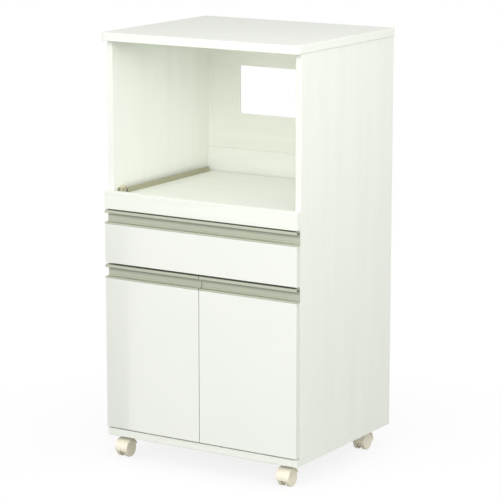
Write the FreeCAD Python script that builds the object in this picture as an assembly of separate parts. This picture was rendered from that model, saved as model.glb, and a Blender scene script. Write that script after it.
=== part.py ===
import FreeCAD, Part
import math
import os

# Microwave cart on casters: top board, open oven bay with a pull-out table, full-width drawer and a
# two-door cupboard. Millimetres; +X right, +Y back, +Z up; origin on the floor under the middle.

V = FreeCAD.Vector

# ---- driving dimensions -------------------------------------------------------------------------
WIDTH = 480.0                # over the side panels
TOP_WIDTH = 486.0            # the top board oversails 3 mm each side
DEPTH_HALF = 203.0           # top board front edge to back edge is twice this
HEIGHT = 930.0
TOP_THICK = 18.0
PANEL = 13.0                 # side panel thickness
PANEL_FRONT = -184.0         # front edges of side panels and partition
FACE_BACK = -186.0           # back of doors, drawer front and table fascia
FACE_FRONT = -200.0          # front of the same
BASE_FRONT = -197.0
BASE_BOTTOM = 48.0
BASE_TOP = 64.0
BACK_Y = 191.0               # front face of the thin back panels
BACK_THICK = 3.0
GROOVE = 5.0                 # groove depth for the back panels
STRETCHER_BOTTOM = 566.0     # the stretcher crosses the back behind the table
STRETCHER_TOP = 636.0
STRETCHER_FRONT = BACK_Y - 5
STRETCHER_BACK = BACK_Y + 8

DOOR_BOTTOM = 67.0
DOOR_TOP = 399.0             # wooden part; the grip sits on it
DRAWER_BOTTOM = 433.2
DRAWER_TOP = 518.0
GRIP_HEIGHT = 30.2
FASCIA_BOTTOM = 551.0
FASCIA_TOP = 589.5
TABLE_TOP = 581.0
TABLE_THICK = 15.0
TABLE_BACK = 183.0
SHELF_FRONT = -165.0
SHELF_BACK = 188.0
SHELF_THICK = 12.0
BOX_BOTTOM = 437.0           # lower edge of the drawer sides
PARTITION_TOP = 426.0
PARTITION_THICK = 14.0
RAIL_DROP = TABLE_TOP - TABLE_THICK - BOX_BOTTOM

INNER = WIDTH / 2 - PANEL
SLIDE_HALF = 213.0           # half width of table board and drawer box


# ---- small shape helpers ------------------------------------------------------------------------
def box(x0, x1, y0, y1, z0, z1):
    return Part.makeBox(x1 - x0, y1 - y0, z1 - z0, V(x0, y0, z0))


def rod(radius, start, end):
    a = V(*start)
    b = V(*end)
    return Part.makeCylinder(radius, (b - a).Length, a, b - a)


def mirrored(shape):
    return shape.mirror(V(0, 0, 0), V(1, 0, 0))


def both(shape):
    return [shape, mirrored(shape)]


def outline(corners, place):
    """Closed wire through (a, b, radius) corners, rounded by arcs; place(a, b) gives the point."""
    edges = []
    ends = []
    count = len(corners)
    for i in range(count):
        ax, bx, r = corners[i]
        here = V(ax, bx, 0)
        back = V(corners[i - 1][0], corners[i - 1][1], 0) - here
        ahead = V(corners[(i + 1) % count][0], corners[(i + 1) % count][1], 0) - here
        back.normalize()
        ahead.normalize()
        half = back.getAngle(ahead) / 2
        if r <= 0:
            ends.append((here, here, None))
            continue
        reach = r / math.tan(half)
        middle = back + ahead
        middle.normalize()
        crown = here + middle * (r / math.sin(half) - r)
        ends.append((here + back * reach, here + ahead * reach, crown))
    for i in range(count):
        start, end, crown = ends[i]
        if crown is not None:
            through = [place(point.x, point.y) for point in (start, crown, end)]
            edges.append(Part.Arc(*through).toShape())
        following = ends[(i + 1) % count][0]
        if (following - end).Length > 1e-6:
            edges.append(Part.makeLine(place(end.x, end.y), place(following.x, following.y)))
    return Part.Wire(edges)


def prism_x(corners, x0, x1):
    """Outline of (y, z, radius) corners drawn out along X."""
    return Part.Face(outline(corners, lambda a, b: V(x0, a, b))).extrude(V(x1 - x0, 0, 0))


def prism_y(corners, y0, y1):
    """Outline of (x, z, radius) corners drawn out along Y."""
    return Part.Face(outline(corners, lambda a, b: V(a, y0, b))).extrude(V(0, y1 - y0, 0))


def prism_z(corners, z0, z1):
    """Outline of (x, y, radius) corners drawn out along Z."""
    return Part.Face(outline(corners, lambda a, b: V(a, b, z0))).extrude(V(0, 0, z1 - z0))


def rectangle(a0, a1, b0, b1, r):
    return [(a0, b0, r), (a1, b0, r), (a1, b1, r), (a0, b1, r)]


def eased_front(shape, y, radius):
    """Rounds over every edge that lies in the front plane y."""
    picked = []
    for edge in shape.Edges:
        bounds = edge.BoundBox
        if abs(bounds.YMin - y) < 1e-4 and abs(bounds.YMax - y) < 1e-4:
            picked.append(edge)
    return shape.makeFillet(radius, picked)


def save(name, shapes):
    solids = shapes if isinstance(shapes, list) else [shapes]
    shape = solids[0] if len(solids) == 1 else Part.makeCompound(solids)
    shape.exportStep("parts/" + name + ".step")


os.makedirs("parts", exist_ok=True)

# ---- fixings that cut pockets in the boards -----------------------------------------------------
CAM_R = 7.5
CAM_DEPTH = 9.0
CAM_X = 205.0
CAM_YS = (-130.0, 130.0)
cam_spots = []               # centre on the board's face, direction of the pocket
for side in (-1, 1):
    for y in CAM_YS:
        cam_spots.append((V(side * CAM_X, y, HEIGHT - TOP_THICK), V(0, 0, 1)))
        cam_spots.append((V(side * CAM_X, y, PARTITION_TOP - PARTITION_THICK), V(0, 0, 1)))
    stretcher_middle = (STRETCHER_BOTTOM + STRETCHER_TOP) / 2
    cam_spots.append((V(side * CAM_X, STRETCHER_BACK, stretcher_middle), V(0, -1, 0)))


def cam_pocket(spot):
    centre, into = spot
    return Part.makeCylinder(CAM_R, CAM_DEPTH, centre, into)


def cam_disc(spot):
    """Slotted eccentric disc, just under flush with the face."""
    centre, into = spot
    disc = Part.makeCylinder(CAM_R - 0.1, CAM_DEPTH - 0.4, centre + into * 0.3, into)
    across = V(1, 0, 0)
    along = into.cross(across)
    for first, second in ((across, along), (along, across)):
        corner = centre + first * -5.0 + second * -0.8
        slot = Part.Face(Part.makePolygon([
            corner,
            corner + first * 10.0,
            corner + first * 10.0 + second * 1.6,
            corner + second * 1.6,
            corner,
        ])).extrude(into * 2.4)
        disc = disc.cut(slot)
    return disc


SCREW_X = WIDTH / 2 - PANEL / 2
SCREW_YS = (-150.0, 10.0, 165.0)


def base_screw(x, y, clearance):
    """Countersunk screw up through the base board into a side panel; clearance > 0 gives its hole."""
    head = Part.makeCone(4.2 + clearance, 2.0 + clearance, 3.4, V(x, y, BASE_BOTTOM), V(0, 0, 1))
    shank = Part.makeCylinder(2.0 + clearance, 44.0 + clearance, V(x, y, BASE_BOTTOM), V(0, 0, 1))
    return head.fuse(shank).removeSplitter()


# ---- carcass boards -----------------------------------------------------------------------------
PIN_Z = 229.5
PIN_R = 2.5
PIN_YS = (-120.0, 140.0)
SHELF_ROWS = (-32.0, 0.0, 32.0)

half = TOP_WIDTH / 2
top_board = prism_z([
    (-half, -DEPTH_HALF, 9.0),
    (half, -DEPTH_HALF, 9.0),
    (half, DEPTH_HALF, 1.5),
    (-half, DEPTH_HALF, 1.5),
], HEIGHT - TOP_THICK, HEIGHT)
rim = [
    edge for edge in top_board.Edges
    if edge.BoundBox.ZLength < 1e-6 and edge.BoundBox.YMin < DEPTH_HALF - 1.6
]
top_board = top_board.makeFillet(1.3, rim)
top_board = top_board.cut(box(
    -INNER - GROOVE, INNER + GROOVE,
    BACK_Y, BACK_Y + BACK_THICK + 0.1,
    HEIGHT - TOP_THICK - 1, HEIGHT - TOP_THICK + GROOVE + 0.2,
))

side_panel = box(INNER, WIDTH / 2, PANEL_FRONT, DEPTH_HALF, BASE_TOP, HEIGHT - TOP_THICK)
side_panel = eased_front(side_panel, PANEL_FRONT, 0.8)
side_panel = side_panel.cut(box(
    INNER - 1, INNER + GROOVE,
    BACK_Y, BACK_Y + BACK_THICK + 0.1,
    BASE_TOP - 1, HEIGHT,
))
for y in PIN_YS:
    for step in SHELF_ROWS:
        hole = rod(PIN_R + 0.05, (INNER - 1, y, PIN_Z + step), (INNER + 8.6, y, PIN_Z + step))
        side_panel = side_panel.cut(hole)
for y in SCREW_YS:
    side_panel = side_panel.cut(base_screw(SCREW_X, y, 0.05))

base_board = box(-WIDTH / 2, WIDTH / 2, BASE_FRONT, DEPTH_HALF, BASE_BOTTOM, BASE_TOP)
base_board = eased_front(base_board, BASE_FRONT, 1.5)
base_board = base_board.cut(box(
    -INNER - GROOVE, INNER + GROOVE,
    BACK_Y, BACK_Y + BACK_THICK + 0.1,
    BASE_TOP - GROOVE - 0.2, BASE_TOP + 1,
))

stretcher = box(-INNER, INNER, STRETCHER_FRONT, STRETCHER_BACK, STRETCHER_BOTTOM, STRETCHER_TOP)
stretcher = eased_front(stretcher, STRETCHER_FRONT, 0.8)
for low in (STRETCHER_TOP - GROOVE - 0.2, STRETCHER_BOTTOM - 1):
    stretcher = stretcher.cut(box(
        -INNER - 1, INNER + 1,
        BACK_Y, BACK_Y + BACK_THICK + 0.1,
        low, low + GROOVE + 1.2,
    ))

partition = box(-INNER, INNER, PANEL_FRONT, BACK_Y - 0.2, PARTITION_TOP - PARTITION_THICK, PARTITION_TOP)
partition = eased_front(partition, PANEL_FRONT, 0.8)

upper_back = box(
    -INNER - GROOVE + 0.5, INNER + GROOVE - 0.5,
    BACK_Y + 0.05, BACK_Y + BACK_THICK,
    STRETCHER_TOP - GROOVE, HEIGHT - TOP_THICK + GROOVE,
)
WINDOW_HALF = 143.5
WINDOW_LOW = 716.5
WINDOW_HIGH = 825.0
window = rectangle(-WINDOW_HALF, WINDOW_HALF, WINDOW_LOW, WINDOW_HIGH, 4.0)
upper_back = upper_back.cut(prism_y(window, BACK_Y - 1, BACK_Y + BACK_THICK + 1))

lower_back = box(
    -INNER - GROOVE + 0.5, INNER + GROOVE - 0.5,
    BACK_Y + 0.05, BACK_Y + BACK_THICK,
    BASE_TOP - GROOVE, STRETCHER_BOTTOM + GROOVE - 0.8,
)

shelf_half = INNER - 1.5
shelf_low = PIN_Z + PIN_R
shelf = box(-shelf_half, shelf_half, SHELF_FRONT, SHELF_BACK, shelf_low, shelf_low + SHELF_THICK)
shelf = eased_front(shelf, SHELF_FRONT, 0.8)

for spot in cam_spots:
    pocket = cam_pocket(spot)
    if spot[0].z > STRETCHER_TOP:
        top_board = top_board.cut(pocket)
    elif spot[0].z < STRETCHER_BOTTOM:
        partition = partition.cut(pocket)
    else:
        stretcher = stretcher.cut(pocket)

# ---- casters: plate with a riveted swivel pin, hood, axle, two hollow wheels -----------------------
CASTER_X = 206.0
CASTER_FRONT_Y = -164.0
CASTER_REAR_Y = 130.0
TRAIL = 14.0                 # swivel pin to axle
WHEEL_R = 19.2
HOOD_IN = WHEEL_R + 0.7
HOOD_OUT = WHEEL_R + 1.9
HOOD_HALF = 15.6
HOOD_LOW = 191               # angle of the hood's lower edge; 90 is straight over the axle
HOOD_END = 20                # angle where it ends, past the swivel pin
CORE_HALF = 5.2              # the hood's core runs between the wheels
CORE_R = 15.5
SWIVEL_R = 3.5
PLATE_SCREW = 13.5

corners_of_plate = [(sx * PLATE_SCREW, sy * PLATE_SCREW) for sx in (-1, 1) for sy in (-1, 1)]


def caster_plate():
    plate = prism_z(rectangle(-19, 19, -19, 19, 5.0), BASE_BOTTOM - 2, BASE_BOTTOM)
    for x, y in corners_of_plate:
        plate = plate.cut(Part.makeCylinder(1.9, 4, V(x, y, BASE_BOTTOM - 3)))
    collar = Part.makeCone(6.0, 7.5, 2.1, V(0, 0, BASE_BOTTOM - 4.1))
    pin = Part.makeCylinder(SWIVEL_R, 24, V(0, 0, BASE_BOTTOM - 25.5))
    return plate.fuse([collar, pin]).removeSplitter()


def plate_screw(x, y, clearance):
    shank = Part.makeCylinder(1.7 + clearance, 13.5 + clearance, V(x, y, BASE_BOTTOM - 2))
    if clearance > 0:
        return shank
    head = Part.makeCone(2.4, 3.3, 1.5, V(x, y, BASE_BOTTOM - 3.5))
    return head.fuse(shank).removeSplitter()


def hood_sector(inner, outer, start, end, half_width):
    """Ring sector about the axle from angle start to angle end (degrees, 90 is straight up)."""
    points = []
    for radius, first, last in ((outer, start, end), (inner, end, start)):
        for t in (0.0, 0.5, 1.0):
            angle = math.radians(first + (last - first) * t)
            points.append((-TRAIL + radius * math.cos(angle), WHEEL_R + radius * math.sin(angle)))
    place = [V(-half_width, y, z) for y, z in points]
    wire = Part.Wire([
        Part.Arc(place[0], place[1], place[2]).toShape(),
        Part.makeLine(place[2], place[3]),
        Part.Arc(place[3], place[4], place[5]).toShape(),
        Part.makeLine(place[5], place[0]),
    ])
    return Part.Face(wire).extrude(V(2 * half_width, 0, 0))


def caster_hood():
    """Fender over both wheels, web between them round the axle, and the housing of the swivel pin."""
    fender = hood_sector(HOOD_IN, HOOD_OUT, HOOD_LOW, HOOD_END, HOOD_HALF)
    web = rod(CORE_R, (-CORE_HALF, -TRAIL, WHEEL_R), (CORE_HALF, -TRAIL, WHEEL_R))
    rib = hood_sector(CORE_R - 4, HOOD_IN + 0.4, HOOD_LOW, 60, CORE_HALF)
    housing = prism_x([
        (-8.0, 17.0, 3.0),
        (7.3, 17.0, 3.0),
        (7.3, 40.0, 3.0),
        (-3.0, 42.0, 1.0),
        (-TRAIL, WHEEL_R + HOOD_IN + 0.4, 1.0),
    ], -CORE_HALF, CORE_HALF)
    boss = Part.makeCone(9.5, 8.0, 3.2, V(0, 0, 40.5))
    hood = fender.fuse([web, rib, housing, boss])
    hood = hood.cut(Part.makeCylinder(SWIVEL_R + 0.06, 40, V(0, 0, 21.5)))
    hood = hood.cut(rod(2.02, (-20, -TRAIL, WHEEL_R), (20, -TRAIL, WHEEL_R)))
    groove = hood_sector(HOOD_OUT - 0.6, HOOD_OUT + 2, HOOD_LOW + 1, 130, 0.7)
    dimple_angle = math.radians(128)
    outward = V(0, math.cos(dimple_angle), math.sin(dimple_angle))
    dimple = Part.makeCylinder(1.5, 3, V(0, -TRAIL, WHEEL_R) + outward * (HOOD_OUT - 0.8), outward)
    return hood.cut(groove).cut(dimple).removeSplitter()


def caster_axle():
    return rod(2.0, (-12.1, -TRAIL, WHEEL_R), (12.1, -TRAIL, WHEEL_R))


def caster_wheel(side):
    """Hollow wheel turned from one section: dished outer face, chamfered tread, inner hub."""
    section = [
        (12.3, 0.0), (13.1, 0.0), (13.8, 16.4), (13.8, 17.9), (12.5, WHEEL_R), (6.2, WHEEL_R),
        (5.6, WHEEL_R - 0.6), (5.6, 16.6), (11.6, 16.2), (11.6, 4.8), (5.6, 4.4), (5.6, 2.06), (12.3, 2.06),
    ]
    points = [V(side * s, -TRAIL, WHEEL_R + r) for s, r in section]
    face = Part.Face(Part.makePolygon(points + [points[0]]))
    return face.revolve(V(0, -TRAIL, WHEEL_R), V(1, 0, 0), 360)


def at_caster(shape, place):
    x, y, turn = place
    moved = shape.copy()
    moved.rotate(V(0, 0, 0), V(0, 0, 1), turn)
    moved.translate(V(x, y, 0))
    return moved


CASTERS = {
    "front_left": (-CASTER_X, CASTER_FRONT_Y, 0),
    "front_right": (CASTER_X, CASTER_FRONT_Y, 0),
    "rear_left": (-CASTER_X, CASTER_REAR_Y, 180),
    "rear_right": (CASTER_X, CASTER_REAR_Y, 180),
}

plates = []
plate_screws = []
for corner, place in CASTERS.items():
    upright = (place[0], place[1], 0)
    plates.append(at_caster(caster_plate(), upright))
    for x, y in corners_of_plate:
        plate_screws.append(at_caster(plate_screw(x, y, 0), upright))
        base_board = base_board.cut(at_caster(plate_screw(x, y, 0.05), upright))
    save("caster_hood_" + corner, at_caster(caster_hood(), place))
    save("caster_axle_" + corner, at_caster(caster_axle(), place))
    facing = -1 if place[2] == 180 else 1
    for side, label in ((-1, "left"), (1, "right")):
        wheel = caster_wheel(side * facing)
        save("caster_wheel_" + corner + "_" + label, at_caster(wheel, place))
save("caster_plates", plates)
save("caster_plate_screws", plate_screws)

base_screws = []
for side in (-1, 1):
    for y in SCREW_YS:
        base_screws.append(base_screw(side * SCREW_X, y, 0))
        base_board = base_board.cut(base_screw(side * SCREW_X, y, 0.05))

# ---- roller runners -----------------------------------------------------------------------------
# Each pair has a fixed channel on the side panel with a flanged nylon roller at its front end, and a
# moving angle under the board with a plain roller at its rear end that runs inside the channel.
STEEL = 1.2
RAIL_LOW = 563.3
RAIL_HIGH = 583.5
RAIL_FRONT = -171.0
RAIL_BACK = 176.0
RAIL_SCREW_YS = (-120.0, 0.0, 130.0)
TAB_TOP = 593.0              # the channel's front end stands up here and carries the front roller
FRONT_ROLLER = (-153.0, 585.0)
REAR_ROLLER = (158.0, 573.0)
TREAD_R = 5.75
GUIDE_R = 11.5
GUIDE_EDGE = 7.4             # inner side of the guide flange, measured from the panel
REAR_R = 8.3
ANGLE_TOP = 592.0
ANGLE_FRONT = -165.0         # the flange that rides on the front roller starts here
NOTCH_BACK = -136.0          # the channel's top is cut away in front of this
WINDOW_BACK = -151.0         # the angle's web is cut away in front of this


def fixed_rail():
    """Right-hand channel; its open side faces the drawer."""
    wall = INNER
    lip = wall - 11.6
    rail = prism_y([
        (wall, RAIL_LOW, 0.0),
        (wall, RAIL_HIGH, 0.0),
        (lip, RAIL_HIGH, 0.5),
        (lip, RAIL_HIGH - 2.6, 0.0),
        (lip + 1.0, RAIL_HIGH - 2.6, 0.0),
        (lip + 1.0, RAIL_HIGH - STEEL, 0.3),
        (wall - STEEL, RAIL_HIGH - STEEL, 0.3),
        (wall - STEEL, RAIL_LOW + STEEL, 0.3),
        (lip + 1.0, RAIL_LOW + STEEL, 0.3),
        (lip + 1.0, RAIL_LOW + 2.6, 0.0),
        (lip, RAIL_LOW + 2.6, 0.0),
        (lip, RAIL_LOW, 0.5),
    ], RAIL_FRONT, RAIL_BACK)
    rail = rail.cut(box(lip - 1, wall - STEEL, RAIL_FRONT - 1, NOTCH_BACK, RAIL_HIGH - 4, RAIL_HIGH + 1))
    tab = prism_x([
        (RAIL_FRONT, RAIL_HIGH - 3, 0.0),
        (NOTCH_BACK, RAIL_HIGH - 3, 0.0),
        (NOTCH_BACK - 4, TAB_TOP, 4.0),
        (RAIL_FRONT, TAB_TOP, 4.0),
    ], wall - STEEL, wall)
    rivet_y = RAIL_FRONT + 3.4
    rivet_z = TAB_TOP - 4.4
    tab = tab.cut(rod(1.6, (wall - 3, rivet_y, rivet_z), (wall + 1, rivet_y, rivet_z)))
    stop = box(lip + 2.0, wall - STEEL, RAIL_BACK - STEEL, RAIL_BACK, RAIL_LOW + STEEL, RAIL_HIGH - STEEL)
    rail = rail.fuse([tab, stop]).removeSplitter()
    middle = (RAIL_LOW + RAIL_HIGH) / 2
    for y in RAIL_SCREW_YS:
        rail = rail.cut(rod(2.2, (wall - 3, y, middle), (wall + 1, y, middle)))
    return rail


def rail_pin():
    """Riveted pin that carries the front roller."""
    y, z = FRONT_ROLLER
    shank = rod(2.0, (INNER - STEEL, y, z), (INNER - 11.5, y, z))
    head = rod(3.3, (INNER - 11.45, y, z), (INNER - 12.05, y, z))
    return shank.fuse(head).removeSplitter()


def front_roller():
    y, z = FRONT_ROLLER
    section = [(1.8, 2.06), (1.8, GUIDE_R - 0.6), (2.4, GUIDE_R), (GUIDE_EDGE - 0.8, GUIDE_R),
               (GUIDE_EDGE, GUIDE_R - 0.8), (GUIDE_EDGE, TREAD_R), (11.3, TREAD_R), (11.3, 2.06)]
    points = [V(INNER - s, y, z + r) for s, r in section]
    face = Part.Face(Part.makePolygon(points + [points[0]]))
    return face.revolve(V(0, y, z), V(1, 0, 0), 360)


def moving_angle():
    """Right-hand angle: foot under the board, web beside it, flange riding on the front roller."""
    outer = INNER - 12.8
    inner = INNER - 14.0
    angle = prism_y([
        (inner - 17.0, RAIL_LOW + 1.5, 0.0),
        (outer, RAIL_LOW + 1.5, 0.6),
        (outer, ANGLE_TOP - STEEL, 0.0),
        (INNER - GUIDE_EDGE - 0.4, ANGLE_TOP - STEEL, 0.0),
        (INNER - GUIDE_EDGE - 0.4, ANGLE_TOP, 0.4),
        (inner, ANGLE_TOP, 0.8),
        (inner, RAIL_LOW + 2.7, 0.0),
        (inner - 17.0, RAIL_LOW + 2.7, 0.0),
    ], FACE_BACK + 0.5, 170.0)
    window = box(inner - 1, outer + 0.5, FACE_BACK, WINDOW_BACK, TABLE_TOP - 0.6, ANGLE_TOP - STEEL)
    nose = box(inner - 1, INNER, FACE_BACK, ANGLE_FRONT, TABLE_TOP - 0.6, ANGLE_TOP + 1)
    return angle.cut(window).cut(nose)


def angle_pin():
    y, z = REAR_ROLLER
    shank = rod(2.0, (INNER - 12.8, y, z), (INNER - 3.0, y, z))
    head = rod(3.2, (INNER - 3.0, y, z), (INNER - 2.4, y, z))
    return shank.fuse(head).removeSplitter()


def rear_roller():
    y, z = REAR_ROLLER
    section = [(3.1, 2.06), (3.1, REAR_R - 0.5), (3.5, REAR_R), (9.7, REAR_R), (10.2, REAR_R - 0.5),
               (10.2, 2.06)]
    points = [V(INNER - s, y, z + r) for s, r in section]
    face = Part.Face(Part.makePolygon(points + [points[0]]))
    return face.revolve(V(0, y, z), V(1, 0, 0), 360)


def lowered(shape, drop):
    moved = shape.copy()
    moved.translate(V(0, 0, -drop))
    return moved


fixed_pins = []
for name, drop in (("table", 0.0), ("drawer", RAIL_DROP)):
    save(name + "_rails", both(lowered(fixed_rail(), drop)))
    save(name + "_front_rollers", both(lowered(front_roller(), drop)))
    save(name + "_runners", both(lowered(moving_angle(), drop)))
    save(name + "_rear_rollers", both(lowered(rear_roller(), drop)))
    save(name + "_runner_pins", both(lowered(angle_pin(), drop)))
    fixed_pins += both(lowered(rail_pin(), drop))
save("rail_pins", fixed_pins)

# ---- finger grips: one extruded channel section, cut to length ---------------------------------------
GRIP_D = FACE_BACK - FACE_FRONT
GRIP_WALL = 1.3
LIP_HEIGHT = 6.2
LEDGE = 3.9                  # height of the foot, whose top is the ledge for the fingers


def grip(x0, x1, z0):
    """C-section: foot flush with the board below, flat ledge, stepped back wall, hooked top lip, and a
    barbed tongue in the board's slot. Each corner is (depth from the back, height, radius)."""
    lip = GRIP_HEIGHT - LIP_HEIGHT
    roof = GRIP_HEIGHT - GRIP_WALL
    hook = GRIP_D - 3.8
    front_wall = GRIP_D - GRIP_WALL
    section = [
        (0.0, 0.0, 0.0), (0.0, GRIP_HEIGHT, 0.6), (GRIP_D, GRIP_HEIGHT, 1.0), (GRIP_D, lip, 0.6),
        (hook, lip, 0.4), (hook, lip + 2.4, 0.3), (hook + 1.1, lip + 2.4, 0.3),
        (hook + 1.1, lip + 1.2, 0.2), (front_wall, lip + 1.2, 0.4), (front_wall, roof, 0.8),
        (GRIP_WALL, roof, 1.2), (GRIP_WALL, LEDGE + 4.0, 0.2), (GRIP_WALL + 0.5, LEDGE + 3.4, 0.2),
        (GRIP_WALL + 0.5, LEDGE, 1.0), (GRIP_D, LEDGE, 0.8), (GRIP_D, 0.0, 0.4), (8.0, 0.0, 0.0),
        (8.0, -3.0, 0.0), (8.25, -3.4, 0.0), (8.0, -3.9, 0.0), (8.0, -6.0, 0.0), (8.25, -6.4, 0.0),
        (7.6, -8.6, 0.0), (6.9, -8.6, 0.0), (6.5, -6.4, 0.0), (6.5, 0.0, 0.0),
    ]
    return prism_x([(FACE_BACK - depth, z0 + height, r) for depth, height, r in section], x0, x1)


def grip_slot(x0, x1, top):
    return box(x0 - 1, x1 + 1, FACE_BACK - 8.35, FACE_BACK - 6.4, top - 9.5, top + 1)


# ---- pull-out table -----------------------------------------------------------------------------
fascia = box(-WIDTH / 2, WIDTH / 2, FACE_FRONT, FACE_BACK, FASCIA_BOTTOM, FASCIA_TOP)
save("table_fascia", eased_front(fascia, FACE_FRONT, 1.2))
save("table_board", box(
    -SLIDE_HALF, SLIDE_HALF,
    FACE_BACK, TABLE_BACK,
    TABLE_TOP - TABLE_THICK, TABLE_TOP,
))

# ---- drawer -------------------------------------------------------------------------------------
SIDE_THICK = 12.0
BOX_BACK = 165.0
FLOOR_Z = 446.0
FLOOR_THICK = 3.0

drawer_front = box(-WIDTH / 2, WIDTH / 2, FACE_FRONT, FACE_BACK, DRAWER_BOTTOM, DRAWER_TOP)
drawer_front = eased_front(drawer_front, FACE_FRONT, 0.8)
drawer_front = drawer_front.cut(grip_slot(-WIDTH / 2, WIDTH / 2, DRAWER_TOP))
groove_half = SLIDE_HALF - SIDE_THICK + GROOVE
drawer_front = drawer_front.cut(box(
    -groove_half, groove_half,
    FACE_BACK - 5.0, FACE_BACK + 1,
    FLOOR_Z - 0.05, FLOOR_Z + FLOOR_THICK + 0.05,
))
save("drawer_front", drawer_front)
save("drawer_grip", grip(-WIDTH / 2, WIDTH / 2, DRAWER_TOP))

drawer_side = box(SLIDE_HALF - SIDE_THICK, SLIDE_HALF, FACE_BACK, BOX_BACK, BOX_BOTTOM, DRAWER_TOP)
drawer_side = drawer_side.makeFillet(3.0, [
    edge for edge in drawer_side.Edges
    if edge.BoundBox.ZMin > DRAWER_TOP - 0.01 and edge.BoundBox.XLength < 0.01
])
drawer_side = drawer_side.cut(box(
    SLIDE_HALF - SIDE_THICK - 1, groove_half,
    FACE_BACK - 1, BOX_BACK + 1,
    FLOOR_Z - 0.05, FLOOR_Z + FLOOR_THICK + 0.05,
))
save("drawer_side_right", drawer_side)
save("drawer_side_left", mirrored(drawer_side))
back_half = SLIDE_HALF - SIDE_THICK
save("drawer_back", box(
    -back_half, back_half,
    BOX_BACK - 17.0, BOX_BACK - 5.0,
    FLOOR_Z + FLOOR_THICK + 0.1, DRAWER_TOP - 4,
))
save("drawer_floor", box(
    -groove_half + 0.3, groove_half - 0.3,
    FACE_BACK - 4.7, BOX_BACK - 3.0,
    FLOOR_Z, FLOOR_Z + FLOOR_THICK,
))

# ---- doors and cup hinges -----------------------------------------------------------------------
# Hinge parts are drawn for the left door in (u, v): u runs inward from the side panel's outer face, v
# forward from the back of the door. The lever turns on a pin in the fixed arm and carries the cup.
HINGE_ZS = (127.0, 339.0)
CUP_U = 22.5
CUP_R = 17.5
CUP_PIN = (10.0, 5.0)
ARM_PIN = (34.0, -4.0)
LEVER_BENDS = ((14.2, 7.3), (18.6, 7.6), (23.0, 5.4), (28.4, 0.4))
LEVER_HALF = 5.2             # half width along the door's height
LEVER_THICK = 2.5
EYE_R = 2.3
HINGE_PIN_R = 1.25
EAR_IN = 5.5
EAR_OUT = 6.7
ARM_ROOF = 38.8
MEETING = 0.75               # each door stops this far from the middle


def prism_uv(corners, z0, z1):
    placed = [(-WIDTH / 2 + u, FACE_BACK - v, r) for u, v, r in corners]
    return prism_z(placed, z0, z1)


def pin_uv(spot, radius, z0, z1):
    x = -WIDTH / 2 + spot[0]
    y = FACE_BACK - spot[1]
    return rod(radius, (x, y, z0), (x, y, z1))


def cup_axis(v):
    return V(-WIDTH / 2 + CUP_U, FACE_BACK - v, 0)


def hinge_cup(z):
    """Pressed cup with its two-eared flange and the pin the lever carries."""
    cup = Part.makeCylinder(CUP_R, 11.0, cup_axis(0), V(0, -1, 0))
    flange = prism_uv([(13.6, -0.7, 0.0), (41.0, -0.7, 0.0), (41.0, 0.0, 0.0), (13.6, 0.0, 0.0)], -26, 26)
    trimmed = Part.makeCylinder(26.0, 2.0, cup_axis(-1), V(0, -1, 0))
    body = cup.fuse(flange.common(trimmed))
    inside = Part.makeCylinder(CUP_R - 1.1, 10.9, cup_axis(-1), V(0, -1, 0))
    body = body.cut(inside)
    pin = pin_uv(CUP_PIN, HINGE_PIN_R, -11.4, 11.4)
    body = body.fuse(pin).removeSplitter()
    for ear in (-22.0, 22.0):
        screw = Part.makeCone(3.6, 1.5, 0.6, cup_axis(-0.65) + V(0, 0, ear), V(0, -1, 0))
        body = body.cut(screw)
    body.translate(V(0, 0, z))
    return body


def hinge_lever(z):
    """Curved lever with an eye at each end."""
    stations = [CUP_PIN, *LEVER_BENDS, ARM_PIN]
    sides = []
    for offset in (LEVER_THICK / 2, -LEVER_THICK / 2):
        run = []
        for i, (u, v) in enumerate(stations):
            before = stations[max(i - 1, 0)]
            after = stations[min(i + 1, len(stations) - 1)]
            du = after[0] - before[0]
            dv = after[1] - before[1]
            length = math.hypot(du, dv)
            run.append((u - dv / length * offset, v + du / length * offset))
        sides.append(run)
    loop = sides[0] + sides[1][::-1]
    placed = [V(-WIDTH / 2 + u, FACE_BACK - v, z - LEVER_HALF) for u, v in loop]
    top = Part.BSplineCurve()
    top.interpolate(placed[:len(stations)])
    low = Part.BSplineCurve()
    low.interpolate(placed[len(stations):])
    wire = Part.Wire([
        top.toShape(),
        Part.makeLine(placed[len(stations) - 1], placed[len(stations)]),
        low.toShape(),
        Part.makeLine(placed[-1], placed[0]),
    ])
    strap = Part.Face(wire).extrude(V(0, 0, 2 * LEVER_HALF))
    eyes = [pin_uv(spot, EYE_R, z - LEVER_HALF, z + LEVER_HALF) for spot in (CUP_PIN, ARM_PIN)]
    lever = strap.fuse(eyes)
    for spot in (CUP_PIN, ARM_PIN):
        lever = lever.cut(pin_uv(spot, HINGE_PIN_R + 0.05, z - 7, z + 7))
    return lever.removeSplitter()


def hinge_arm(z):
    """Folded steel arm: two ears, a roof and the pin between the ears."""
    solid = prism_uv([
        (26.0, -60.0, 2.0),
        (ARM_ROOF, -60.0, 1.0),
        (ARM_ROOF, -9.0, 2.0),
        (36.8, -1.2, 2.6),
        (31.2, -1.2, 2.6),
        (26.0, -13.0, 4.0),
    ], z - EAR_OUT, z + EAR_OUT)
    hollow = prism_uv([
        (20.0, -70.0, 0.0),
        (ARM_ROOF - 1.2, -70.0, 0.0),
        (ARM_ROOF - 1.2, -9.8, 0.0),
        (ARM_ROOF + 1.0, -8.8, 0.0),
        (ARM_ROOF + 1.0, 3.0, 0.0),
        (20.0, 3.0, 0.0),
    ], z - EAR_IN, z + EAR_IN)
    arm = solid.cut(hollow)
    return arm.fuse(pin_uv(ARM_PIN, HINGE_PIN_R, z - EAR_IN - 0.8, z + EAR_IN + 0.8)).removeSplitter()


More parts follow.
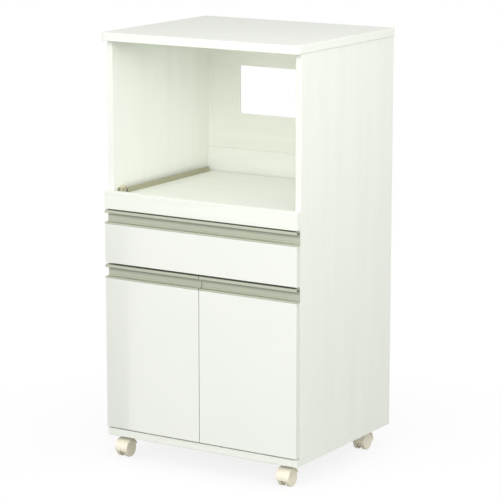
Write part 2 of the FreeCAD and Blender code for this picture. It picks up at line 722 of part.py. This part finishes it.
def hinge_plate(z):
    """Winged plate on the side panel with the rib that the arm straddles."""
    wall = PANEL
    foot = prism_uv([
        (wall, -50.0, 0.0),
        (wall + 2.4, -50.0, 0.4),
        (wall + 2.4, -24.0, 0.4),
        (wall, -24.0, 0.0),
    ], z - 24, z + 24)
    rib = prism_uv([
        (wall, -58.0, 0.0),
        (ARM_ROOF - 1.3, -58.0, 1.5),
        (ARM_ROOF - 1.3, -20.0, 3.0),
        (27.0, -16.0, 2.0),
        (wall, -16.0, 0.0),
    ], z - EAR_IN + 0.1, z + EAR_IN - 0.1)
    plate = foot.fuse(rib).removeSplitter()
    for ear in (-16.0, 16.0):
        start = V(-WIDTH / 2 + wall + 2.5, FACE_BACK + 37.0, z + ear)
        plate = plate.cut(Part.makeCone(4.0, 2.0, 2.2, start, V(-1, 0, 0)))
    return plate


levers = [hinge_lever(z) for z in HINGE_ZS]
arms = [hinge_arm(z) for z in HINGE_ZS]
plates_for_hinges = [hinge_plate(z) for z in HINGE_ZS]
cups = [hinge_cup(z) for z in HINGE_ZS]

door = box(-WIDTH / 2, -MEETING, FACE_FRONT, FACE_BACK, DOOR_BOTTOM, DOOR_TOP)
door = eased_front(door, FACE_FRONT, 0.8)
door = door.cut(grip_slot(-WIDTH / 2, -MEETING, DOOR_TOP))
for z in HINGE_ZS:
    recess = Part.makeCylinder(CUP_R + 0.05, 11.1, cup_axis(-0.05) + V(0, 0, z), V(0, -1, 0))
    door = door.cut(recess)
door_grip = grip(-WIDTH / 2, -MEETING, DOOR_TOP)

for label, turn in (("left", lambda s: s), ("right", mirrored)):
    save("door_" + label, turn(door))
    save("door_grip_" + label, turn(door_grip))
    save("hinge_cups_" + label, [turn(s) for s in cups])
    save("hinge_levers_" + label, [turn(s) for s in levers])
save("hinge_arms", arms + [mirrored(s) for s in arms])
save("hinge_plates", plates_for_hinges + [mirrored(s) for s in plates_for_hinges])

# ---- carcass files ------------------------------------------------------------------------------
save("top_board", top_board)
save("side_panel_right", side_panel)
save("side_panel_left", mirrored(side_panel))
save("base_board", base_board)
save("back_stretcher", stretcher)
save("partition_board", partition)
save("back_panel_upper", upper_back)
save("back_panel_lower", lower_back)
save("cupboard_shelf", shelf)
save("base_screws", base_screws)
save("cam_locks", [cam_disc(spot) for spot in cam_spots])

# shelf pins: shank in the panel, collar against it, peg under the shelf
pegs = []
for y in PIN_YS:
    shank = rod(PIN_R, (INNER + 8.4, y, PIN_Z), (INNER - 9.0, y, PIN_Z))
    collar = rod(4.0, (INNER, y, PIN_Z - 1.9), (INNER - 1.2, y, PIN_Z - 1.9))
    pegs += both(shank.fuse(collar).removeSplitter())
save("shelf_pins", pegs)

# soft buffers on the carcass front that the closed fronts rest against
BUFFER_SPOTS = ((22.0, 419.0), (SCREW_X, 505.0), (SCREW_X, 570.0))    # x, z: doors, drawer, table
BUFFER_THICK = PANEL_FRONT - FACE_BACK - 0.05
buffers = []
for x, z in BUFFER_SPOTS:
    disc = Part.makeCone(3.6, 3.0, BUFFER_THICK, V(x, PANEL_FRONT, z), V(0, -1, 0))
    buffers += both(disc)
save("front_buffers", buffers)
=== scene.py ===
import math

import bpy
import numpy as np
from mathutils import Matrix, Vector


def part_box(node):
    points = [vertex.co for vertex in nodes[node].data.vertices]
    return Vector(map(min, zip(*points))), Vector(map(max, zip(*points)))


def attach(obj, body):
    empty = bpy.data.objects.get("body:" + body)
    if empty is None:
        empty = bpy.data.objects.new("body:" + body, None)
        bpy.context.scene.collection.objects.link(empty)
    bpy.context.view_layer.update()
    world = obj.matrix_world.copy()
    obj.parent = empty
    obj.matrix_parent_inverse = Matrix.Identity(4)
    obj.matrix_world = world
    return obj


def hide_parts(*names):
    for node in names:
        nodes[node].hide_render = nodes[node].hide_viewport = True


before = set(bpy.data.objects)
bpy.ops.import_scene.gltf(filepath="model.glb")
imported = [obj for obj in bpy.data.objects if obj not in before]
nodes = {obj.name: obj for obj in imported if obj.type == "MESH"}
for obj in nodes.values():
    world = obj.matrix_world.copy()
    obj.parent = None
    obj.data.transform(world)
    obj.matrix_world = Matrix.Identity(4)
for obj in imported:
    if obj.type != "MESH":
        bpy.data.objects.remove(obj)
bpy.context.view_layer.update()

# ---- Top board, side panels, base board and inner boards ----------------------------------------
# Particle board 13 to 18 mm thick, wrapped in white foil that is printed and lightly embossed with
# ash grain, so the eye sees satin white with faint streaks along each board. The boards are cut,
# edged with tape of the same foil, and pulled together by cams and screws.
MM = 0.001
COLOUR_A, COLOUR_B, COLOUR_OUT = 6, 7, 2    # a Mix node's sockets: two colours and their mixture


def linear(code):
    """sRGB hex to linear: c/12.92 up to 0.04045, ((c + 0.055)/1.055)^2.4 above it."""
    srgb = np.array([int(code[i:i + 2], 16) for i in (0, 2, 4)]) / 255
    light = np.where(srgb <= 0.04045, srgb / 12.92, ((srgb + 0.055) / 1.055) ** 2.4)
    return (*light.tolist(), 1.0)


def add(tree, kind, settings, links=()):
    """One shader node. Lower-case settings are its properties, the others its sockets."""
    made = tree.nodes.new("ShaderNode" + kind)
    for key, value in settings.items():
        if isinstance(key, str) and key[0].islower():
            setattr(made, key, value)
        else:
            made.inputs[key].default_value = value
    for key, source in links:
        tree.links.new(source, made.inputs[key])
    return made


def finish_named(name, **shader):
    """A material with its tree and its Principled shader, whose constant sockets are set here."""
    material = bpy.data.materials.new(name)
    material.use_nodes = True
    principled = material.node_tree.nodes["Principled BSDF"]
    for key, value in shader.items():
        principled.inputs[key.replace("_", " ")].default_value = value
    return material, material.node_tree, principled


def dress(material, *names):
    """Gives CAD nodes one material."""
    for name in names:
        mesh = nodes[name].data
        mesh.materials.clear()
        mesh.materials.append(material)


def ash_foil(name, grain, face="F2F4ED", pore="E4E8DC", rough=0.5, contrast=1.0):
    """White ash foil with its grain along one axis (0, 1 or 2).

    Colour is face mixed with pore by the larger share of two stretched noises: pores 1.6 mm wide
    and 70 mm long, and broad flames 24 mm wide and 420 mm long. The pores also emboss the surface
    by 0.03 mm. Real pores are 0.3 mm wide; they are drawn coarser so that they show."""
    pore_width, pore_length, pore_depth = 1.6, 70, 0.03
    flame_width, flame_length = 24, 420
    most_pore, most_flame = 0.66 * contrast, 0.34 * contrast
    material, tree, shader = finish_named(name, IOR=1.5)
    place = add(tree, "TexCoord", {}).outputs["Object"]

    def stretched(width, length, detail, distortion):
        scale = [1 / (width * MM)] * 3
        scale[grain] = 1 / (length * MM)
        moved = add(tree, "Mapping", {"Scale": scale}, [("Vector", place)])
        noise = add(tree, "TexNoise", {"Scale": 1.0, "Detail": detail, "Distortion": distortion},
                    [("Vector", moved.outputs[0])])
        return noise.outputs[0]

    pores = stretched(pore_width, pore_length, detail=4.0, distortion=0.1)
    flames = stretched(flame_width, flame_length, detail=3.0, distortion=0.8)
    pore_share = add(tree, "MapRange", {"From Min": 0.52, "From Max": 0.72, "To Max": most_pore},
                     [("Value", pores)])
    flame_share = add(tree, "MapRange", {"From Min": 0.40, "From Max": 0.66, "To Max": most_flame},
                      [("Value", flames)])
    share = add(tree, "Math", {"operation": "MAXIMUM"},
                [(0, pore_share.outputs[0]), (1, flame_share.outputs[0])])
    colour = add(tree, "Mix",
                 {"data_type": "RGBA", COLOUR_A: linear(face), COLOUR_B: linear(pore)},
                 [(0, share.outputs[0])])
    gloss = add(tree, "MapRange", {"From Min": 0.3, "From Max": 0.7, "To Min": rough - 0.05,
                                   "To Max": rough + 0.06}, [("Value", flames)])
    emboss = add(tree, "Bump", {"Strength": 0.35, "Distance": pore_depth * MM, "invert": True},
                 [("Height", pores)])
    tree.links.new(colour.outputs[COLOUR_OUT], shader.inputs["Base Color"])
    tree.links.new(gloss.outputs[0], shader.inputs["Roughness"])
    tree.links.new(emboss.outputs[0], shader.inputs["Normal"])
    return material


ALONG_X, ALONG_Y, ALONG_Z = 0, 1, 2
ash_across = ash_foil("white_ash_foil_grain_across", ALONG_X, contrast=0.9)
ash_upright = ash_foil("white_ash_foil_grain_upright", ALONG_Z, contrast=0.75)
dress(ash_across, "top_board", "base_board", "back_stretcher", "partition_board", "cupboard_shelf")
dress(ash_upright, "side_panel_left", "side_panel_right")

# ---- Back panels --------------------------------------------------------------------------------
# Hardboard 3 mm thick, foiled white, slid into grooves round the carcass. The upper one has a
# window cut for the oven's lead and for air. The grain runs across and is fainter than the boards',
# and the foil is a little duller.
back_foil = ash_foil("white_ash_foil_on_hardboard", ALONG_X, "F1F3EA", "E6E9DE", rough=0.55,
                     contrast=0.7)
dress(back_foil, "back_panel_upper", "back_panel_lower")

# ---- Pull-out table -----------------------------------------------------------------------------
# A 15 mm particle board with a front strip screwed on, both in the same foil as the carcass, with
# the grain running across.
dress(ash_across, "table_board", "table_fascia")

# ---- Drawer box ---------------------------------------------------------------------------------
# Sides and back of 12 mm particle board, wrapped in a plainer foil with its grain along the sides,
# and a thin hardboard floor held in their grooves.
box_foil = ash_foil("white_foil_drawer_box", ALONG_Y, "EEF0E8", "E0E4D8", rough=0.55)
dress(box_foil, "drawer_side_left", "drawer_side_right", "drawer_back")
dress(back_foil, "drawer_floor")


# ---- Drawer front and doors ---------------------------------------------------------------------
# Fibreboard pressed with white high-gloss foil. It is mirror-like with a faint waviness, which the
# eye reads as soft, slightly bent reflections. The cut edges carry a duller tape.
def gloss_foil():
    """Gloss foil: a clear coat over white, with waves 14 mm across and 0.01 mm deep.

    The white drifts a little over clouds 160 mm across. The tape colour is where the surface's own
    normal points along X or Z instead of forwards."""
    wave_width, wave_depth, cloud_width = 14, 0.01, 160
    material, tree, shader = finish_named(
        "white_high_gloss_foil", IOR=1.55, Roughness=0.15, Coat_Weight=1.0, Coat_Roughness=0.06,
        Coat_IOR=1.6)
    texture = add(tree, "TexCoord", {})
    place = texture.outputs["Object"]
    waves = add(tree, "TexNoise", {"Scale": 1 / (wave_width * MM), "Detail": 1.0},
                [("Vector", place)])
    cloud = add(tree, "TexNoise", {"Scale": 1 / (cloud_width * MM), "Detail": 2.0},
                [("Vector", place)])
    colour = add(tree, "Mix",
                 {"data_type": "RGBA", COLOUR_A: linear("F1F2ED"), COLOUR_B: linear("EDEFE9")},
                 [(0, cloud.outputs[0])])
    facing = add(tree, "SeparateXYZ", {}, [(0, texture.outputs["Normal"])])
    forwards = add(tree, "Math", {"operation": "ABSOLUTE"}, [(0, facing.outputs["Y"])])
    edge = add(tree, "MapRange", {"From Min": 0.35, "From Max": 0.2},
               [("Value", forwards.outputs[0])])
    taped = add(tree, "Mix", {"data_type": "RGBA", COLOUR_B: linear("DFE2DA")},
                [(0, edge.outputs[0]), (COLOUR_A, colour.outputs[COLOUR_OUT])])
    bend = add(tree, "Bump", {"Strength": 0.2, "Distance": wave_depth * MM},
               [("Height", waves.outputs[0])])
    tree.links.new(taped.outputs[COLOUR_OUT], shader.inputs["Base Color"])
    tree.links.new(bend.outputs[0], shader.inputs["Coat Normal"])
    return material


dress(gloss_foil(), "drawer_front", "door_left", "door_right")


# ---- Grips --------------------------------------------------------------------------------------
# One aluminium extrusion, drawn through a die, satin etched and anodised pale champagne, then sawn
# to length. Fine die lines run along it, and its highlights are broad and dull. Shade is painted
# into the channel under the lip, darkening the back wall where the lip hangs over it.
def champagne_anodised():
    """Anodised aluminium: die lines 0.5 mm apart and 200 mm long vary colour, gloss and height.

    Painted shade darkens the channel under the lip and stands in for the lip's shadow: its share
    falls from 1 to 0 as the part of the space within 14 mm above the surface that is open rises
    from 0 to 0.5."""
    line_pitch, line_length, line_depth = 0.5, 200, 0.02
    shade_reach, unshaded_when_open = 14, 0.5
    material, tree, shader = finish_named("champagne_anodised_aluminium", Metallic=0.6)
    place = add(tree, "TexCoord", {}).outputs["Object"]
    along, across = 1 / (line_length * MM), 1 / (line_pitch * MM)
    drawn = add(tree, "Mapping", {"Scale": (along, across, across)}, [("Vector", place)])
    lines = add(tree, "TexNoise", {"Scale": 1.0, "Detail": 3.0}, [("Vector", drawn.outputs[0])])
    colour = add(tree, "Mix",
                 {"data_type": "RGBA", COLOUR_A: linear("C9CDBC"), COLOUR_B: linear("BABEAC")},
                 [(0, lines.outputs[0])])
    # Painted shade under the lip: where the space above a surface is closed off, its colour is
    # darkened.
    upwards = add(tree, "CombineXYZ", {"Z": 1.0})
    open_share = add(tree, "AmbientOcclusion",
                     {"samples": 12, "only_local": True, "Distance": shade_reach * MM},
                     [("Normal", upwards.outputs[0])])
    lip_shade_share = add(tree, "MapRange", {"From Max": unshaded_when_open, "To Min": 1.0, "To Max": 0.0},
                [("Value", open_share.outputs["AO"])])
    # 84877A is the colour of the painted shade under the lip.
    lip_shaded_colour = add(tree, "Mix", {"data_type": "RGBA", COLOUR_B: linear("84877A")},
                 [(0, lip_shade_share.outputs[0]), (COLOUR_A, colour.outputs[COLOUR_OUT])])
    gloss = add(tree, "MapRange", {"To Min": 0.44, "To Max": 0.56}, [("Value", lines.outputs[0])])
    scored = add(tree, "Bump", {"Strength": 0.2, "Distance": line_depth * MM},
                 [("Height", lines.outputs[0])])
    tree.links.new(lip_shaded_colour.outputs[COLOUR_OUT], shader.inputs["Base Color"])
    tree.links.new(gloss.outputs[0], shader.inputs["Roughness"])
    tree.links.new(scored.outputs[0], shader.inputs["Normal"])
    return material


dress(champagne_anodised(), "drawer_grip", "door_grip_left", "door_grip_right")


# ---- Casters ------------------------------------------------------------------------------------
# Twin-wheel casters: hoods moulded in ivory nylon and wheels in a harder, slightly darker one, both
# satin from the mould, so their highlights are small and soft. Axles, plates, cams and shelf pins
# are zinc-plated steel, which is a dull, patchy grey metal.
def speckled(name, light, dark, grain_mm, rough, emboss_mm, **shader_settings):
    """Two near colours mixed by a noise of one grain size, which also varies gloss and height."""
    material, tree, shader = finish_named(name, **shader_settings)
    place = add(tree, "TexCoord", {}).outputs["Object"]
    grain = add(tree, "TexNoise", {"Scale": 1 / (grain_mm * MM), "Detail": 3.0},
                [("Vector", place)])
    colour = add(tree, "Mix",
                 {"data_type": "RGBA", COLOUR_A: linear(light), COLOUR_B: linear(dark)},
                 [(0, grain.outputs[0])])
    gloss = add(tree, "MapRange", {"To Min": rough - 0.06, "To Max": rough + 0.06},
                [("Value", grain.outputs[0])])
    relief = add(tree, "Bump", {"Strength": 0.3, "Distance": emboss_mm * MM},
                 [("Height", grain.outputs[0])])
    tree.links.new(colour.outputs[COLOUR_OUT], shader.inputs["Base Color"])
    tree.links.new(gloss.outputs[0], shader.inputs["Roughness"])
    tree.links.new(relief.outputs[0], shader.inputs["Normal"])
    return material


hood_nylon = speckled("ivory_nylon_hoods", "FAF3E3", "F3EAD6", grain_mm=2.5, rough=0.36,
                      emboss_mm=0.03, IOR=1.53, Subsurface_Weight=0.08, Subsurface_Scale=4 * MM)
wheel_nylon = speckled("grey_ivory_nylon_wheels", "F0E8D5", "E6DDC8", grain_mm=1.8, rough=0.32,
                       emboss_mm=0.02, IOR=1.53)
zinc = speckled("zinc_plated_steel", "C9CBCB", "A9ACAE", grain_mm=1.2, rough=0.34,
                emboss_mm=0.01, Metallic=1.0)
corners = [end + "_" + side for end in ("front", "rear") for side in ("left", "right")]
for corner in corners:
    dress(hood_nylon, "caster_hood_" + corner)
    dress(wheel_nylon, "caster_wheel_" + corner + "_left", "caster_wheel_" + corner + "_right")
    dress(zinc, "caster_axle_" + corner)
dress(zinc, "caster_plates", "cam_locks", "shelf_pins")

# ---- Screws under the cart ----------------------------------------------------------------------
# Cold-headed steel screws with a cross recess, zinc plated: pan heads hold each caster plate at its
# four corners, and countersunk ones join the base board to the side panels.
AROUND = 48             # points round a screw
HEAD_RINGS = 9          # rings from the middle of a head to its rim


def head(radius, height, drop=0.0):
    """A head's rings in mm: height * sqrt(1 - drop * t^2) at radius * t, for t from 0 to 1."""
    t = np.linspace(0, 1, HEAD_RINGS)
    return list(zip(radius * t, height * np.sqrt(1 - drop * t * t)))


def screw_mesh(profile, spots, out, up, reach, half_width, depth):
    """Points and faces of many equal screws. Profile and recess are in mm, spots in metres.

    A profile of (radius, height above the seat) is turned about the axis `out`. On the head's
    rings, height drops by a cross of two blades, within reach of the axis: by
    depth * (1 - s)^2 * (1 + 2 s), where s runs from 0 inside a blade's half width to 1 at 1.3
    times that."""
    slope = 0.3
    radius, height = np.array(profile).T * MM
    angle = np.arange(AROUND) * 2 * math.pi / AROUND
    a = radius[:, None] * np.cos(angle)
    b = radius[:, None] * np.sin(angle)
    half = half_width * MM
    s = np.clip((np.minimum(np.abs(a), np.abs(b)) - half) / (slope * half), 0, 1)
    cut = depth * MM * (1 - s) ** 2 * (1 + 2 * s) * (np.hypot(a, b) < reach * MM)
    cut[HEAD_RINGS:] = 0
    h = height[:, None] - cut
    out, up = Vector(out), Vector(up)
    frame_of_screw = np.array([up, out.cross(up), out])
    local = np.stack([a, b, h], -1).reshape(-1, 3) @ frame_of_screw
    ring, turn = np.meshgrid(np.arange(len(radius) - 1), np.arange(AROUND), indexing="ij")
    here = ring * AROUND + turn
    beside = ring * AROUND + (turn + 1) % AROUND
    quads = np.stack([here, here + AROUND, beside + AROUND, beside], -1).reshape(-1, 4)
    points = (np.array(spots)[:, None, :] + local[None]).reshape(-1, 3)
    first = np.arange(len(spots)) * len(local)
    faces = (quads[None] + first[:, None, None]).reshape(-1, 4)
    return points, faces


def screws(name, body, slot, finish, *groups):
    """One object from groups of screws, welded at its poles; it rides on a body."""
    points, faces, before = [], [], 0
    for group_points, group_faces in groups:
        points.append(group_points)
        faces.append(group_faces + before)
        before += len(group_points)
    mesh = bpy.data.meshes.new(name)
    mesh.from_pydata(np.concatenate(points).tolist(), [], np.concatenate(faces).tolist())
    made = bpy.data.objects.new(name, mesh)
    bpy.context.scene.collection.objects.link(made)
    weld = made.modifiers.new("poles", "WELD")
    weld.merge_threshold = 0.004 * MM
    mesh.materials.append(finish)
    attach(made, body)
    return made


SIDES = (-1, 1)
DOWN, UP, LEFT, RIGHT, BACK = (0, 0, -1), (0, 0, 1), (-1, 0, 0), (1, 0, 0), (0, 1, 0)

PIN_REACH = 23.5 * MM   # from a caster plate's underside down to the end of its swivel pin
PLATE_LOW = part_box("caster_plates")[0].z + PIN_REACH
PLATE_PITCH = 13.5 * MM             # from the swivel pin to a screw, along either edge
SWIVEL_X = 206 * MM
SWIVEL_YS = (-164 * MM, 130 * MM)
pan = head(3.2, 1.5, drop=0.72)
pan += [(3.3, 0.5), (3.3, 0.02), (1.65, 0.02), (1.65, -13.2), (0, -13.4)]
plate_spots = [(side * SWIVEL_X + sx * PLATE_PITCH, y + sy * PLATE_PITCH, PLATE_LOW)
               for side in SIDES for y in SWIVEL_YS for sx in SIDES for sy in SIDES]
plate_screws = screws(
    "caster_plate_screws_crossed", "cabinet", "zinc_steel", zinc,
    screw_mesh(pan, plate_spots, DOWN, RIGHT, reach=2.1, half_width=0.45, depth=1.1))
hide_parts("caster_plate_screws")

BASE_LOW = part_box("base_board")[0].z
PANEL_MIDDLE = 233.5 * MM           # halfway through a side panel's thickness
BASE_SCREW_YS = (-150 * MM, 10 * MM, 165 * MM)
sunk = head(3.9, -0.15)
sunk += [(4.15, -0.3), (2.0, -3.4), (2.0, -42.0), (0, -43.8)]
sunk_spots = [(side * PANEL_MIDDLE, y, BASE_LOW) for side in SIDES for y in BASE_SCREW_YS]
base_screws = screws(
    "base_screws_crossed", "cabinet", "zinc_steel", zinc,
    screw_mesh(sunk, sunk_spots, DOWN, RIGHT, reach=2.6, half_width=0.55, depth=1.6))
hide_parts("base_screws")

# ---- Roller runners -----------------------------------------------------------------------------
# Rolled steel channels and angles coated in beige epoxy, which has a satin skin, with cream nylon
# rollers on riveted pins. Three flat-headed screws inside each channel hold it to its side panel.
epoxy = speckled("beige_epoxy_on_steel", "B2AF95", "9A977D", grain_mm=0.8, rough=0.40,
                 emboss_mm=0.02, IOR=1.5)
dress(epoxy, "table_rails", "drawer_rails", "table_runners", "drawer_runners")
cream_nylon = speckled("cream_nylon", "D8D0B4", "CCC4A6", grain_mm=2.0, rough=0.38,
                       emboss_mm=0.02, IOR=1.53)
dress(cream_nylon, "table_front_rollers", "table_rear_rollers", "drawer_front_rollers",
      "drawer_rear_rollers")
dress(zinc, "rail_pins", "table_runner_pins", "drawer_runner_pins")

RAIL_SHEET = 1.2 * MM
RAIL_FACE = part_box("table_rails")[1].x - RAIL_SHEET
HALF_RAIL = 10.1 * MM               # half the height of a channel
RAIL_SCREW_YS = (-120 * MM, 0, 130 * MM)
rail_middles = [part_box(name)[0].z + HALF_RAIL for name in ("table_rails", "drawer_rails")]
flat_head = head(3.0, 1.3, drop=0.5)
flat_head += [(3.4, 0.5), (3.4, 0.0), (1.6, -0.2), (1.6, -9.0), (0, -9.5)]
rail_groups = []
for side, inwards in ((-1, RIGHT), (1, LEFT)):
    rail_spots = [(side * RAIL_FACE, y, z) for y in RAIL_SCREW_YS for z in rail_middles]
    rail_groups.append(screw_mesh(flat_head, rail_spots, inwards, UP,
                                  reach=1.9, half_width=0.4, depth=0.9))
screws("runner_fixing_screws", "cabinet", "zinc_steel", zinc, *rail_groups)

# ---- Cup hinges and buffers ---------------------------------------------------------------------
# Hinges are pressed steel plated with satin nickel, warmer and glossier than zinc. Countersunk
# screws hold plate and cup, and two more on each arm fix it and set the door's reveal. Buffers are
# discs of clear soft plastic.
nickel = speckled("satin_nickel", "CDCAC2", "B4B1A8", grain_mm=0.9, rough=0.28, emboss_mm=0.01,
                  Metallic=1.0)
dress(nickel, "hinge_cups_left", "hinge_cups_right", "hinge_levers_left", "hinge_levers_right",
      "hinge_arms", "hinge_plates")
buffer_plastic = speckled("soft_clear_plastic", "E4E6E2", "D8DBD6", grain_mm=1.5, rough=0.22,
                          emboss_mm=0.01, IOR=1.45)
dress(buffer_plastic, "front_buffers")

HINGE_HEIGHTS = (127 * MM, 339 * MM)
HALF_WIDTH = 240                    # mm from the cart's middle to a side panel's outer face
DOOR_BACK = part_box("door_left")[1].y
PLATE_SHEET = 2.4 * MM
PLATE_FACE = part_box("hinge_plates")[1].x - PLATE_SHEET
PLATE_SCREW_BACK = 37 * MM          # behind the door's back, as the arm screws' distances are
PLATE_SCREW_STEP = 16 * MM          # above and below the hinge's middle, as for the cup
ARM_ROOF = (HALF_WIDTH - 38.8) * MM
ARM_SCREW_BACKS = (24 * MM, 48 * MM)
wide_sunk = head(3.7, -0.1)
wide_sunk += [(3.9, -0.2), (2.0, -2.1), (2.0, -8.5), (0, -9.0)]
disc_head = head(2.6, 0.9)
disc_head += [(3.0, 0.6), (3.0, 0.0), (1.8, -0.1), (1.8, -6.0), (0, -6.2)]
hinge_groups = []
for side, inwards in ((-1, RIGHT), (1, LEFT)):
    plate_ears = [(side * PLATE_FACE, DOOR_BACK + PLATE_SCREW_BACK, z + step)
                  for z in HINGE_HEIGHTS for step in (-PLATE_SCREW_STEP, PLATE_SCREW_STEP)]
    arm_marks = [(side * ARM_ROOF, DOOR_BACK + y, z)
                 for z in HINGE_HEIGHTS for y in ARM_SCREW_BACKS]
    hinge_groups.append(screw_mesh(wide_sunk, plate_ears, inwards, UP,
                                   reach=2.6, half_width=0.5, depth=1.4))
    hinge_groups.append(screw_mesh(disc_head, arm_marks, inwards, UP,
                                   reach=2.1, half_width=0.45, depth=0.8))
screws("hinge_arm_and_plate_screws", "cabinet", "hinge_nickel", nickel, *hinge_groups)

CUP_X = (HALF_WIDTH - 22.5) * MM
CUP_FLANGE = 0.7 * MM
CUP_SCREW_STEP = 22 * MM
small_sunk = head(3.3, -0.05)
small_sunk += [(3.45, -0.1), (1.5, -0.6), (1.5, -9.0), (0, -9.5)]
for side, label in ((-1, "left"), (1, "right")):
    cup_ears = [(side * CUP_X, DOOR_BACK + CUP_FLANGE, z + step)
                for z in HINGE_HEIGHTS for step in (-CUP_SCREW_STEP, CUP_SCREW_STEP)]
    screws("hinge_cup_screws_" + label, "door_" + label, "hinge_nickel", nickel,
           screw_mesh(small_sunk, cup_ears, BACK, UP, reach=2.2, half_width=0.45, depth=0.4))


# ---- Studio: floor, air, lamps and camera -------------------------------------------------------
# A pale floor that fades to white away from the cart and keeps its soft shadow near it. To the rays
# that light the cart it is greyer than it looks, as the floor of a kitchen is.
def flat_sheet(name, lower_left, across, along):
    """A flat sheet from a corner and its two side vectors, as a stage object."""
    start, across, along = Vector(lower_left), Vector(across), Vector(along)
    mesh = bpy.data.meshes.new(name)
    mesh.from_pydata([start, start + across, start + across + along, start + along], [],
                     [(0, 1, 2, 3)])
    sheet = bpy.data.objects.new(name, mesh)
    bpy.context.scene.collection.objects.link(sheet)
    return sheet


FADE_FROM, FADE_TO = 0.30, 0.80     # metres from the cart's middle
WHITE_SHARE_NEAR = 0.84
floor = flat_sheet("studio_floor", (-30, -30, 0), (60, 0, 0), (0, 60, 0))
paper, floor_tree, floor_shader = finish_named("white_paper", Roughness=0.9)
floor_place = add(floor_tree, "TexCoord", {}).outputs["Object"]
away = add(floor_tree, "VectorMath", {"operation": "LENGTH"}, [(0, floor_place)])
fade = add(floor_tree, "MapRange",
           {"From Min": FADE_FROM, "From Max": FADE_TO, "To Min": WHITE_SHARE_NEAR, "To Max": 1.0},
           [("Value", away.outputs["Value"])])
floor_ray = add(floor_tree, "LightPath", {})
floor_seen = add(floor_tree, "Math", {"operation": "MAXIMUM"},
                 [(0, floor_ray.outputs["Is Camera Ray"]),
                  (1, floor_ray.outputs["Is Glossy Ray"])])
tone = add(floor_tree, "Mix",
           {"data_type": "RGBA", COLOUR_A: linear("92988D"), COLOUR_B: linear("F9F9F8")},
           [(0, floor_seen.outputs[0])])
floor_tree.links.new(tone.outputs[COLOUR_OUT], floor_shader.inputs["Base Color"])
white_share = add(floor_tree, "Math", {"operation": "MULTIPLY"},
                  [(0, fade.outputs[0]), (1, floor_seen.outputs[0])])
white = add(floor_tree, "Emission", {"Color": (1, 1, 1, 1), "Strength": 1.0})
faded = add(floor_tree, "MixShader", {},
            [(0, white_share.outputs[0]), (1, floor_shader.outputs[0]), (2, white.outputs[0])])
floor_tree.links.new(faded.outputs[0], floor_tree.nodes["Material Output"].inputs["Surface"])
floor.data.materials.append(paper)

# The air is white to the eye, and a little dimmer to the rays that light the cart.
AIR_LEVEL = 0.71
world = bpy.data.worlds.new("studio")
bpy.context.scene.world = world
world.use_nodes = True
air = world.node_tree
air.nodes.clear()
air_ray = add(air, "LightPath", {})
air_seen = add(air, "Math", {"operation": "MAXIMUM"},
               [(0, air_ray.outputs["Is Camera Ray"]),
                (1, air_ray.outputs["Is Transmission Ray"])])
level = add(air, "MapRange", {"To Min": AIR_LEVEL, "To Max": 1.0},
            [("Value", air_seen.outputs[0])])
sky = add(air, "Background", {"Color": (1, 1, 1, 1)}, [("Strength", level.outputs[0])])
add(air, "OutputWorld", {}, [("Surface", sky.outputs[0])])

# A dark strip on the floor runs away to the left front. Only gloss sees it, and it gives the left
# edge of the drawer front and door their upright grey reflection.
card = flat_sheet("reflection_strip", (-0.56, -0.2, 0.001), (0.377, 0, 0), (-1.84, -2.62, 0))
dark_card = finish_named("dark_card", Roughness=0.9, Base_Color=linear("2A2A29"))[0]
card.data.materials.append(dark_card)
card.visible_camera = False
card.visible_diffuse = False
card.visible_shadow = False


# The front lamp stands to the right and lights the fronts, and the fill lamp softens their left.
# The side lamp lifts the right side panel, and the upper front lamp the top board and its edge.
# The bay lamp is a dim panel just under the top board, for the inside of the bay.
def soft_lamp(name, spot, aim, size, watts):
    """A square lamp of the given size at spot, facing aim."""
    lamp = bpy.data.lights.new(name, "AREA")
    lamp.size = size
    lamp.energy = watts
    holder = bpy.data.objects.new(name, lamp)
    bpy.context.scene.collection.objects.link(holder)
    holder.location = spot
    holder.rotation_euler = (Vector(aim) - Vector(spot)).to_track_quat("-Z", "Y").to_euler()
    holder.visible_camera = False


MIDDLE = (0, 0, 0.6)
soft_lamp("front_lamp", (3.86, -4.44, 1.80), MIDDLE, size=4.0, watts=148)
soft_lamp("fill_lamp", (-2.6, -4.4, 1.8), MIDDLE, size=3.0, watts=45)
soft_lamp("side_lamp", (1.25, -0.3, 1.25), (0.24, 0, 0.6), size=0.6, watts=4.4)
soft_lamp("upper_front_lamp", (0.1, -1.1, 1.45), MIDDLE, size=0.6, watts=3.4)
soft_lamp("bay_lamp", (0.02, -0.02, 0.909), (0.02, -0.02, 0.5), size=0.34, watts=0.18)

# The camera was fitted to the edges of the boards in the photograph.
AZIMUTH, ELEVATION = math.radians(32.08), math.radians(11.6)
DISTANCE = 5.05326                  # metres
TARGET = Vector((-3.26, 9.0, 449.58)) * MM
SENSOR = 36                         # mm
FOCAL_PIXELS, PICTURE_PIXELS = 2323.47, 500
towards_eye = Vector((math.sin(AZIMUTH) * math.cos(ELEVATION),
                      -math.cos(AZIMUTH) * math.cos(ELEVATION),
                      math.sin(ELEVATION)))
eye = bpy.data.cameras.new("studio_camera")
eye.sensor_width = SENSOR
eye.lens = FOCAL_PIXELS / PICTURE_PIXELS * SENSOR
eye.clip_end = 100
camera = bpy.data.objects.new("studio_camera", eye)
bpy.context.scene.collection.objects.link(camera)
camera.location = TARGET + towards_eye * DISTANCE
camera.rotation_euler = (-towards_eye).to_track_quat("-Z", "Y").to_euler()
bpy.context.scene.camera = camera
bpy.context.scene.view_settings.view_transform = "Standard"
